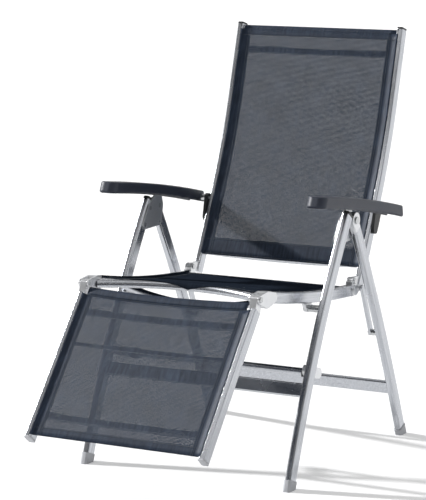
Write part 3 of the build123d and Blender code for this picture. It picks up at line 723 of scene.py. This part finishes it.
# Leg rest sling: hemmed on all four sides, its top edge sagging a little between the rails
legCloth = {
    "face": 0.015, "start": 0.004, "end": 0.385, "sag": 0.007,
    "bottomHem": 0.024, "topHem": 0.024, "step": 0.013, "hemStep": 0.008, "ripple": 0.0006,
    "flap": 0.020,  # reaches up between the hinge lugs
    "flapReach": 0.216, "flapStep": 0.007,
}


def topSag(x, cut=legCloth):
    return cut["sag"] * max(0.0, 1 - (x / clothEdge["flat"]) ** 2)


def legPlace(x, lift, length, cut=legCloth):
    share = (length - cut["start"]) / (cut["end"] - cut["start"])
    return onPath(legRestPath, length - topSag(x) * share, x, lift)


def legHemPlace(x, lift, length):
    return onPath(legRestPath, length - topSag(x), x, lift)


def makeLegRestSling(cut=legCloth):
    across = bothSides(crossProfile(cut["face"]), 0)
    lengths = evenly(cut["start"], cut["end"], cut["step"])
    main = gridMesh("legMain", clothRows(legPlace, across, lengths, ripple=cut["ripple"]))
    level = clothLevel(cut["face"])
    flapAcross = bothSides([(x, level) for x in evenly(0, cut["flapReach"], clothEdge["step"])], 0)
    flapEnd = cut["end"] + cut["flap"]
    flapLengths = evenly(cut["end"], flapEnd, cut["flapStep"])
    flap = gridMesh("legFlap", clothRows(legHemPlace, flapAcross, flapLengths))
    cloth = clothPiece("legRestSlingCloth", [main, flap], meshFinish, "footrest_frame")
    inset = clothEdge["hemInset"]
    bottom = evenly(cut["start"] + inset, cut["start"] + cut["bottomHem"], cut["hemStep"])
    strips = hemStrips(legPlace, cut["face"], lengths, [(legPlace, bottom)])
    top = evenly(flapEnd - cut["topHem"], flapEnd - inset, cut["hemStep"])
    band = clothRows(legHemPlace, flapAcross, top, clothEdge["hemGap"])
    strips.append(gridMesh("band", band))
    return cloth, clothPiece("legRestSlingHems", strips, hemFinish, "footrest_frame")


backSlingCloth, backSlingHems = makeBackSling()
seatSlingCloth, seatSlingHems = makeSeatSling()
legRestSlingCloth, legRestSlingHems = makeLegRestSling()
print("slings made")


# What repeats or runs along a path: rounded lumps for stitches and weld ripples, and round rods
def startTree(name, floats, integers=()):
    tree = bpy.data.node_groups.new(name, "GeometryNodeTree")
    face = tree.interface
    face.new_socket("Geometry", in_out="INPUT", socket_type="NodeSocketGeometry")
    for title in floats:
        face.new_socket(title, in_out="INPUT", socket_type="NodeSocketFloat")
    for title in integers:
        face.new_socket(title, in_out="INPUT", socket_type="NodeSocketInt")
    face.new_socket("Material", in_out="INPUT", socket_type="NodeSocketMaterial")
    face.new_socket("Geometry", in_out="OUTPUT", socket_type="NodeSocketGeometry")
    return tree, addNode(tree, "NodeGroupInput").outputs


def endTree(tree, shape, finish):
    real = addNode(tree, "GeometryNodeRealizeInstances", {}, {0: shape})
    dressed = addNode(tree, "GeometryNodeSetMaterial", {}, {0: real.outputs[0], "Material": finish})
    addNode(tree, "NodeGroupOutput", {}, {0: dressed.outputs[0]})
    return tree


lumpLook = {"segments": 8, "rings": 4, "least": 0.86, "most": 1.1}  # their sizes vary a little


def rowTree(look=lumpLook):
    tree, given = startTree("rowAlongPath", ("Spacing", "Length", "Width", "Height"), ("Seed",))
    curve = addNode(tree, "GeometryNodeMeshToCurve", {}, {0: given["Geometry"]})
    points = addNode(
        tree, "GeometryNodeCurveToPoints", {"mode": "LENGTH"},
        {0: curve.outputs[0], "Length": given["Spacing"]},
    )
    lump = addNode(
        tree, "GeometryNodeMeshUVSphere", {},
        {"Segments": look["segments"], "Rings": look["rings"], "Radius": 0.5},
    )
    soft = addNode(tree, "GeometryNodeSetShadeSmooth", {}, {0: lump.outputs[0]})
    size = addNode(
        tree, "ShaderNodeCombineXYZ", {},
        {0: given["Height"], 1: given["Width"], 2: given["Length"]},
    )
    uneven = addNode(
        tree, "FunctionNodeRandomValue", {"data_type": "FLOAT"},
        {2: look["least"], 3: look["most"], "Seed": given["Seed"]},
    )
    sized = addNode(
        tree, "ShaderNodeVectorMath", {"operation": "SCALE"},
        {0: size.outputs[0], "Scale": uneven.outputs[1]},
    )
    row = addNode(
        tree, "GeometryNodeInstanceOnPoints", {},
        {
            "Points": points.outputs[0], "Instance": soft.outputs[0],
            "Rotation": points.outputs["Rotation"], "Scale": sized.outputs[0],
        },
    )
    return endTree(tree, row.outputs[0], given["Material"])


def rodTree(sides=10):
    tree, given = startTree("rodAlongPath", ("Radius",))
    curve = addNode(tree, "GeometryNodeMeshToCurve", {}, {0: given["Geometry"]})
    circle = addNode(
        tree, "GeometryNodeCurvePrimitiveCircle", {},
        {"Resolution": sides, "Radius": given["Radius"]},
    )
    rod = addNode(
        tree, "GeometryNodeCurveToMesh", {},
        {"Curve": curve.outputs[0], "Profile Curve": circle.outputs[0], "Fill Caps": True},
    )
    soft = addNode(tree, "GeometryNodeSetShadeSmooth", {}, {0: rod.outputs[0]})
    return endTree(tree, soft.outputs[0], given["Material"])


rowAlongPath = rowTree()
rodAlongPath = rodTree()


def pathMesh(name, runs):  # runs of (points, closed)
    mesh = bpy.data.meshes.new(name)
    points = []
    edges = []
    for run, closed in runs:
        first = len(points)
        points += [tuple(p) for p in run]
        edges += [(first + i, first + i + 1) for i in range(len(run) - 1)]
        if closed:
            edges.append((first + len(run) - 1, first))
    mesh.from_pydata(points, edges, [])
    return mesh


def treePiece(name, tree, runs, sizes, material, body):
    host = bpy.data.objects.new(name + "Path", pathMesh(name + "Path", runs))
    bpy.context.scene.collection.objects.link(host)
    modifier = host.modifiers.new("nodes", "NODES")
    modifier.node_group = tree
    items = tree.interface.items_tree
    sockets = {item.name: item.identifier for item in items if item.in_out == "INPUT"}
    for key, value in {**sizes, "Material": material}.items():
        modifier[sockets[key]] = value
    bpy.context.view_layer.update()
    seen = host.evaluated_get(bpy.context.evaluated_depsgraph_get())
    mesh = bpy.data.meshes.new_from_object(seen)
    bpy.data.objects.remove(host)
    mesh.name = name
    work = bmesh.new()
    work.from_mesh(mesh)
    bmesh.ops.recalc_face_normals(work, faces=work.faces)
    work.to_mesh(mesh)
    work.free()
    return newPiece(name, mesh, material, body)


# Lock stitches along the hems, 3.6 mm long; the thread is drawn 1.2 mm thick so that it shows
stitchSizes = {"Spacing": 0.0046, "Length": 0.0036, "Width": 0.0012, "Height": 0.0009, "Seed": 7}
seamLook = {
    "lift": 0.0005, "gaps": (0.002, 0.007), "reach": 0.219, "inset": 0.003, "endInset": 0.002,
    "edgeInset": 0.004, "sideStep": 0.02, "crossStep": 0.015,
}


def sideSeams(place, start, end, face):
    inner = clothEdge["flat"] - clothEdge["hemWidth"]
    level = clothLevel(face) + seamLook["lift"]
    runs = []
    for gap in seamLook["gaps"]:
        for x in (-inner - gap, inner + gap):
            lengths = evenly(start, end, seamLook["sideStep"])
            runs.append(([place(x, level, length) for length in lengths], False))
    return runs


def crossSeam(place, length, face):
    level = clothLevel(face) + seamLook["lift"]
    across = evenly(-seamLook["reach"], seamLook["reach"], seamLook["crossStep"])
    return [place(x, level, length) for x in across], False


def sewStitches(name, runs, body):
    return treePiece(name, rowAlongPath, runs, stitchSizes, threadFinish, body)


inset, endInset = seamLook["inset"], seamLook["endInset"]
start, end, face = backCloth["start"], backCloth["end"], backCloth["face"]
backSeams = sideSeams(backPlace, start + endInset, end, face)
for length in (
    backCloth["tubeLength"] - backCloth["topHem"] - inset,
    start + backCloth["bottomHem"] - inset,
    start + seamLook["edgeInset"],
):
    backSeams.append(crossSeam(backPlace, length, face))
backStitches = sewStitches("backSlingStitches", backSeams, "back_frame")

start, end, face = seatCloth["start"], seatCloth["end"], seatCloth["face"]
seatSeams = sideSeams(seatPlace, start + endInset, end - endInset, face)
seatSeams.append(crossSeam(seatHemPlace, start + seatCloth["frontHem"] - inset, face))
seatSeams.append(crossSeam(seatPlace, end - seatCloth["rearHem"] + inset, face))
seatStitches = sewStitches("seatSlingStitches", seatSeams, "seat_frame")

start, end, face = legCloth["start"], legCloth["end"], legCloth["face"]
legSeams = sideSeams(legPlace, start + endInset, end - endInset, face)
legSeams.append(crossSeam(legPlace, start + legCloth["bottomHem"] - inset, face))
topSeam = end + legCloth["flap"] - legCloth["topHem"] + inset
legSeams.append(crossSeam(legHemPlace, topSeam, face))
legStitches = sewStitches("legRestSlingStitches", legSeams, "footrest_frame")
print("stitches sewn")

# Keder rods: round plastic beads that hold the cloth's edges in the rails' grooves
kederLook = {"radius": 0.0025, "drop": 0.006, "step": 0.02}
kederRuns = {  # the path, where the rod starts and ends along it, the rail's half depth, the body
    "back": (backPath, 0.020, 0.677, backCloth["face"], "back_frame"),
    "seat": (seatPath, 0.001, 0.448, seatCloth["face"], "seat_frame"),
    "legRest": (legRestPath, 0.001, 0.388, legCloth["face"], "footrest_frame"),
}


def kederRod(key, path, start, end, face, body, look=kederLook):
    lengths = evenly(start, end, look["step"])
    runs = []
    for x in (-clothEdge["grooveX"], clothEdge["grooveX"]):
        runs.append(([onPath(path, length, x, face - look["drop"]) for length in lengths], False))
    return treePiece(
        key + "KederRods", rodAlongPath, runs, {"Radius": look["radius"]},
        blackFinish, body,
    )


kederPieces = {key: kederRod(key, *given) for key, given in kederRuns.items()}

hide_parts("back_sling")
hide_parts("seat_sling")
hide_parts("footrest_sling")

# Weld seams where the cross tubes meet the rails and legs
weldSizes = {"Spacing": 0.0019, "Length": 0.0030, "Width": 0.0030, "Height": 0.0030, "Seed": 11}
weldLook = {
    "sunk": 0.0006, "grow": 0.0004, "rim": 0.0004, "steps": 24, "cornerSteps": 4, "cornerShare": 3,
}


def endRing(node, sign, look=weldLook):  # the outline of a cross tube's end, where it meets a rail
    spots = [Vector(v.co) for v in nodes[node].data.vertices]
    reach = max(sign * p.x for p in spots)
    rim = [p for p in spots if sign * p.x > reach - look["rim"]]
    low = Vector((0, min(p.y for p in rim), min(p.z for p in rim)))
    high = Vector((0, max(p.y for p in rim), max(p.z for p in rim)))
    centre = (low + high) / 2
    radius = (high - low).y / 2 + look["grow"]
    ring = []
    for i in range(look["steps"]):
        turn = 2 * pi * i / look["steps"]
        spot = Vector((0, radius * cos(turn), radius * sin(turn)))
        ring.append(centre + spot + Vector((sign * (reach - look["sunk"]), 0, 0)))
    return ring, True


def barRing(node, sign, height, depth, lean, look=weldLook):  # round the end of a flat crossbar
    low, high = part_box(node)
    centre = (low + high) / 2
    corner = depth / look["cornerShare"]
    steps = look["cornerSteps"]
    ring = []
    for quarter, (cy, cz) in enumerate(((1, 1), (-1, 1), (-1, -1), (1, -1))):
        for i in range(steps + 1):
            turn = radians(90 * quarter + 90 * i / steps)
            along = cy * (height / 2 - corner) + corner * cos(turn)
            square = cz * (depth / 2 - corner) + corner * sin(turn)
            y = along * cos(lean) - square * sin(lean)
            z = along * sin(lean) + square * cos(lean)
            ring.append(Vector((sign * (high.x - look["sunk"]), centre.y + y, centre.z + z)))
    return ring, True


def barLean(node, height, depth):  # the lean of a flat bar, from its box
    low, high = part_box(node)
    best = (1.0, 0.0)
    for tenths in range(900):
        lean = radians(tenths / 10)
        wide = height * cos(lean) + depth * sin(lean)
        tall = height * sin(lean) + depth * cos(lean)
        best = min(best, (abs(wide - (high - low).y) + abs(tall - (high - low).z), lean))
    return best[1]


weldGroups = {
    "seatFrameWelds": ("seat_frame", ["seat_middle_tube", "seat_rear_tube"]),
    "backFrameWelds": ("back_frame", ["back_top_tube", "back_upper_tube", "back_lower_tube"]),
    "legRestWelds": (
        "footrest_frame", ["footrest_upper_tube", "footrest_rod", "footrest_lower_tube"],
    ),
}
for title, (body, names) in weldGroups.items():
    runs = [endRing(name, sign) for name in names for sign in (-1, 1)]
    treePiece(title, rowAlongPath, runs, weldSizes, tubeFinish["cross"], body)
barDepth = 0.013
for title, body, node, height, flip in (
    ("frontBarWelds", "front_frame", "front_crossbar", 0.034, 1),
    ("rearBarWelds", "rear_frame", "rear_crossbar", 0.036, -1),
):
    lean = flip * barLean(node, height, barDepth)
    runs = [barRing(node, sign, height, barDepth, lean) for sign in (-1, 1)]
    treePiece(title, rowAlongPath, runs, weldSizes, tubeFinish["cross"], body)
print("welds laid")

for piece in list(bpy.context.scene.objects):
    if "bodyName" in piece:
        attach(piece, piece["bodyName"])
        del piece["bodyName"]


# White paper floor: in the camera and in the metal it is lifted to white, and it keeps the shadows
floorLook = {"half": 60, "paper": "#E8E8E8", "lift": 0.31}
plainWhite = (1, 1, 1, 1)


def levelSheet(name, corners, height, material):
    mesh = bpy.data.meshes.new(name)
    mesh.from_pydata([(x, y, height) for x, y in corners], [], [(0, 1, 2, 3)])
    mesh.materials.append(material)
    return mesh


def studioFloor(look=floorLook):
    material, tree = startMaterial("paperFloor")
    rays = addNode(tree, "ShaderNodeLightPath").outputs
    seen = mathNode(tree, "MAXIMUM", rays["Is Camera Ray"], rays["Is Glossy Ray"])
    through = mathNode(tree, "MAXIMUM", seen, rays["Is Transmission Ray"])
    lift = mathNode(tree, "MULTIPLY", through, look["lift"])
    paper = addNode(tree, "ShaderNodeBsdfDiffuse", {}, {"Color": hexColour(look["paper"])})
    glow = addNode(tree, "ShaderNodeEmission", {}, {"Color": plainWhite, "Strength": lift})
    both = addNode(tree, "ShaderNodeAddShader", {}, {0: paper.outputs[0], 1: glow.outputs[0]})
    endMaterial(tree, both)
    half = look["half"]
    corners = [(-half, -half), (half, -half), (half, half), (-half, half)]
    mesh = levelSheet("studioFloor", corners, 0, material)
    floor = bpy.data.objects.new("studioFloor", mesh)
    bpy.context.scene.collection.objects.link(floor)


studioFloor()

# The room is white behind and to the right, and darker in front; the key lamp is low on the left
lightLook = {
    "room": 0.42, "bright": 1.0, "dark": 0.22, "brightSide": (0.50, 0.80, 0.0),
    "fadeFrom": -0.25, "fadeTo": 0.55, "key": 4.4, "keySpread": 3.0, "keyAim": (2.05, 0.15, -1.0),
}


def studioLight(look=lightLook):
    world = bpy.data.worlds.new("studioRoom")
    world.use_nodes = True
    tree = world.node_tree
    tree.nodes.clear()
    rays = addNode(tree, "ShaderNodeLightPath").outputs
    seen = mathNode(tree, "MAXIMUM", rays["Is Camera Ray"], rays["Is Transmission Ray"])
    heading = addNode(tree, "ShaderNodeTexCoord").outputs["Generated"]
    side = addNode(
        tree, "ShaderNodeVectorMath", {"operation": "DOT_PRODUCT"},
        {0: heading, 1: look["brightSide"]},
    )
    walls = addNode(
        tree, "ShaderNodeMapRange", {"interpolation_type": "SMOOTHSTEP"},
        {
            "Value": side.outputs["Value"],
            "From Min": look["fadeFrom"], "From Max": look["fadeTo"],
            "To Min": look["dark"], "To Max": look["bright"],
        },
    )
    mirrored = addNode(
        tree, "ShaderNodeMix", {"data_type": "FLOAT"},
        {"Factor": rays["Is Glossy Ray"], 2: look["room"], 3: walls.outputs[0]},
    )
    level = addNode(
        tree, "ShaderNodeMix", {"data_type": "FLOAT"},
        {"Factor": seen, 2: mirrored.outputs[0], 3: 1.0},
    )
    room = addNode(
        tree, "ShaderNodeBackground", {}, {"Color": plainWhite, "Strength": level.outputs[0]},
    )
    addNode(tree, "ShaderNodeOutputWorld", {}, {0: room.outputs[0]})
    bpy.context.scene.world = world
    lamp = bpy.data.lights.new("keyLight", "SUN")
    lamp.energy = look["key"]
    lamp.angle = radians(look["keySpread"])
    key = bpy.data.objects.new("keyLight", lamp)
    key.rotation_mode = "QUATERNION"
    key.rotation_quaternion = Vector(look["keyAim"]).to_track_quat("-Z", "Y")
    bpy.context.scene.collection.objects.link(key)


studioLight()

# A white card overhead, seen only in the metal: it brightens the upper half of the near front leg
cardLook = {"height": 2.2, "x": (-1.1, 1.0), "y": (-1.85, -0.8), "strength": 1.1}


def overheadCard(look=cardLook):
    material, tree = startMaterial("whiteCard")
    glow = addNode(
        tree, "ShaderNodeEmission", {}, {"Color": plainWhite, "Strength": look["strength"]},
    )
    endMaterial(tree, glow)
    (left, right), (near, far) = look["x"], look["y"]
    corners = [(left, near), (left, far), (right, far), (right, near)]
    mesh = levelSheet("overheadCard", corners, look["height"], material)
    card = bpy.data.objects.new("overheadCard", mesh)
    for ray in ("camera", "diffuse", "transmission", "volume_scatter", "shadow"):
        setattr(card, "visible_" + ray, False)
    bpy.context.scene.collection.objects.link(card)


overheadCard()

cameraView = {
    "target": (-0.1002, 0.123, 0.5005), "distance": 5.956, "azimuth": 28.54, "elevation": 9.21,
    "lens": 169.85, "sensor": 36, "far": 200,
}


def photoCamera(view=cameraView):
    camera = bpy.data.cameras.new("photoCamera")
    camera.lens = view["lens"]
    camera.sensor_width = view["sensor"]
    camera.clip_end = view["far"]
    eye = bpy.data.objects.new("photoCamera", camera)
    turn = radians(view["azimuth"])
    rise = radians(view["elevation"])
    back = Vector((sin(turn) * cos(rise), -cos(turn) * cos(rise), sin(rise)))
    eye.location = Vector(view["target"]) + view["distance"] * back
    eye.rotation_mode = "QUATERNION"
    eye.rotation_quaternion = (-back).to_track_quat("-Z", "Y")
    bpy.context.scene.collection.objects.link(eye)
    bpy.context.scene.camera = eye


photoCamera()
bpy.context.scene.view_settings.view_transform = "Standard"
print("studio set")
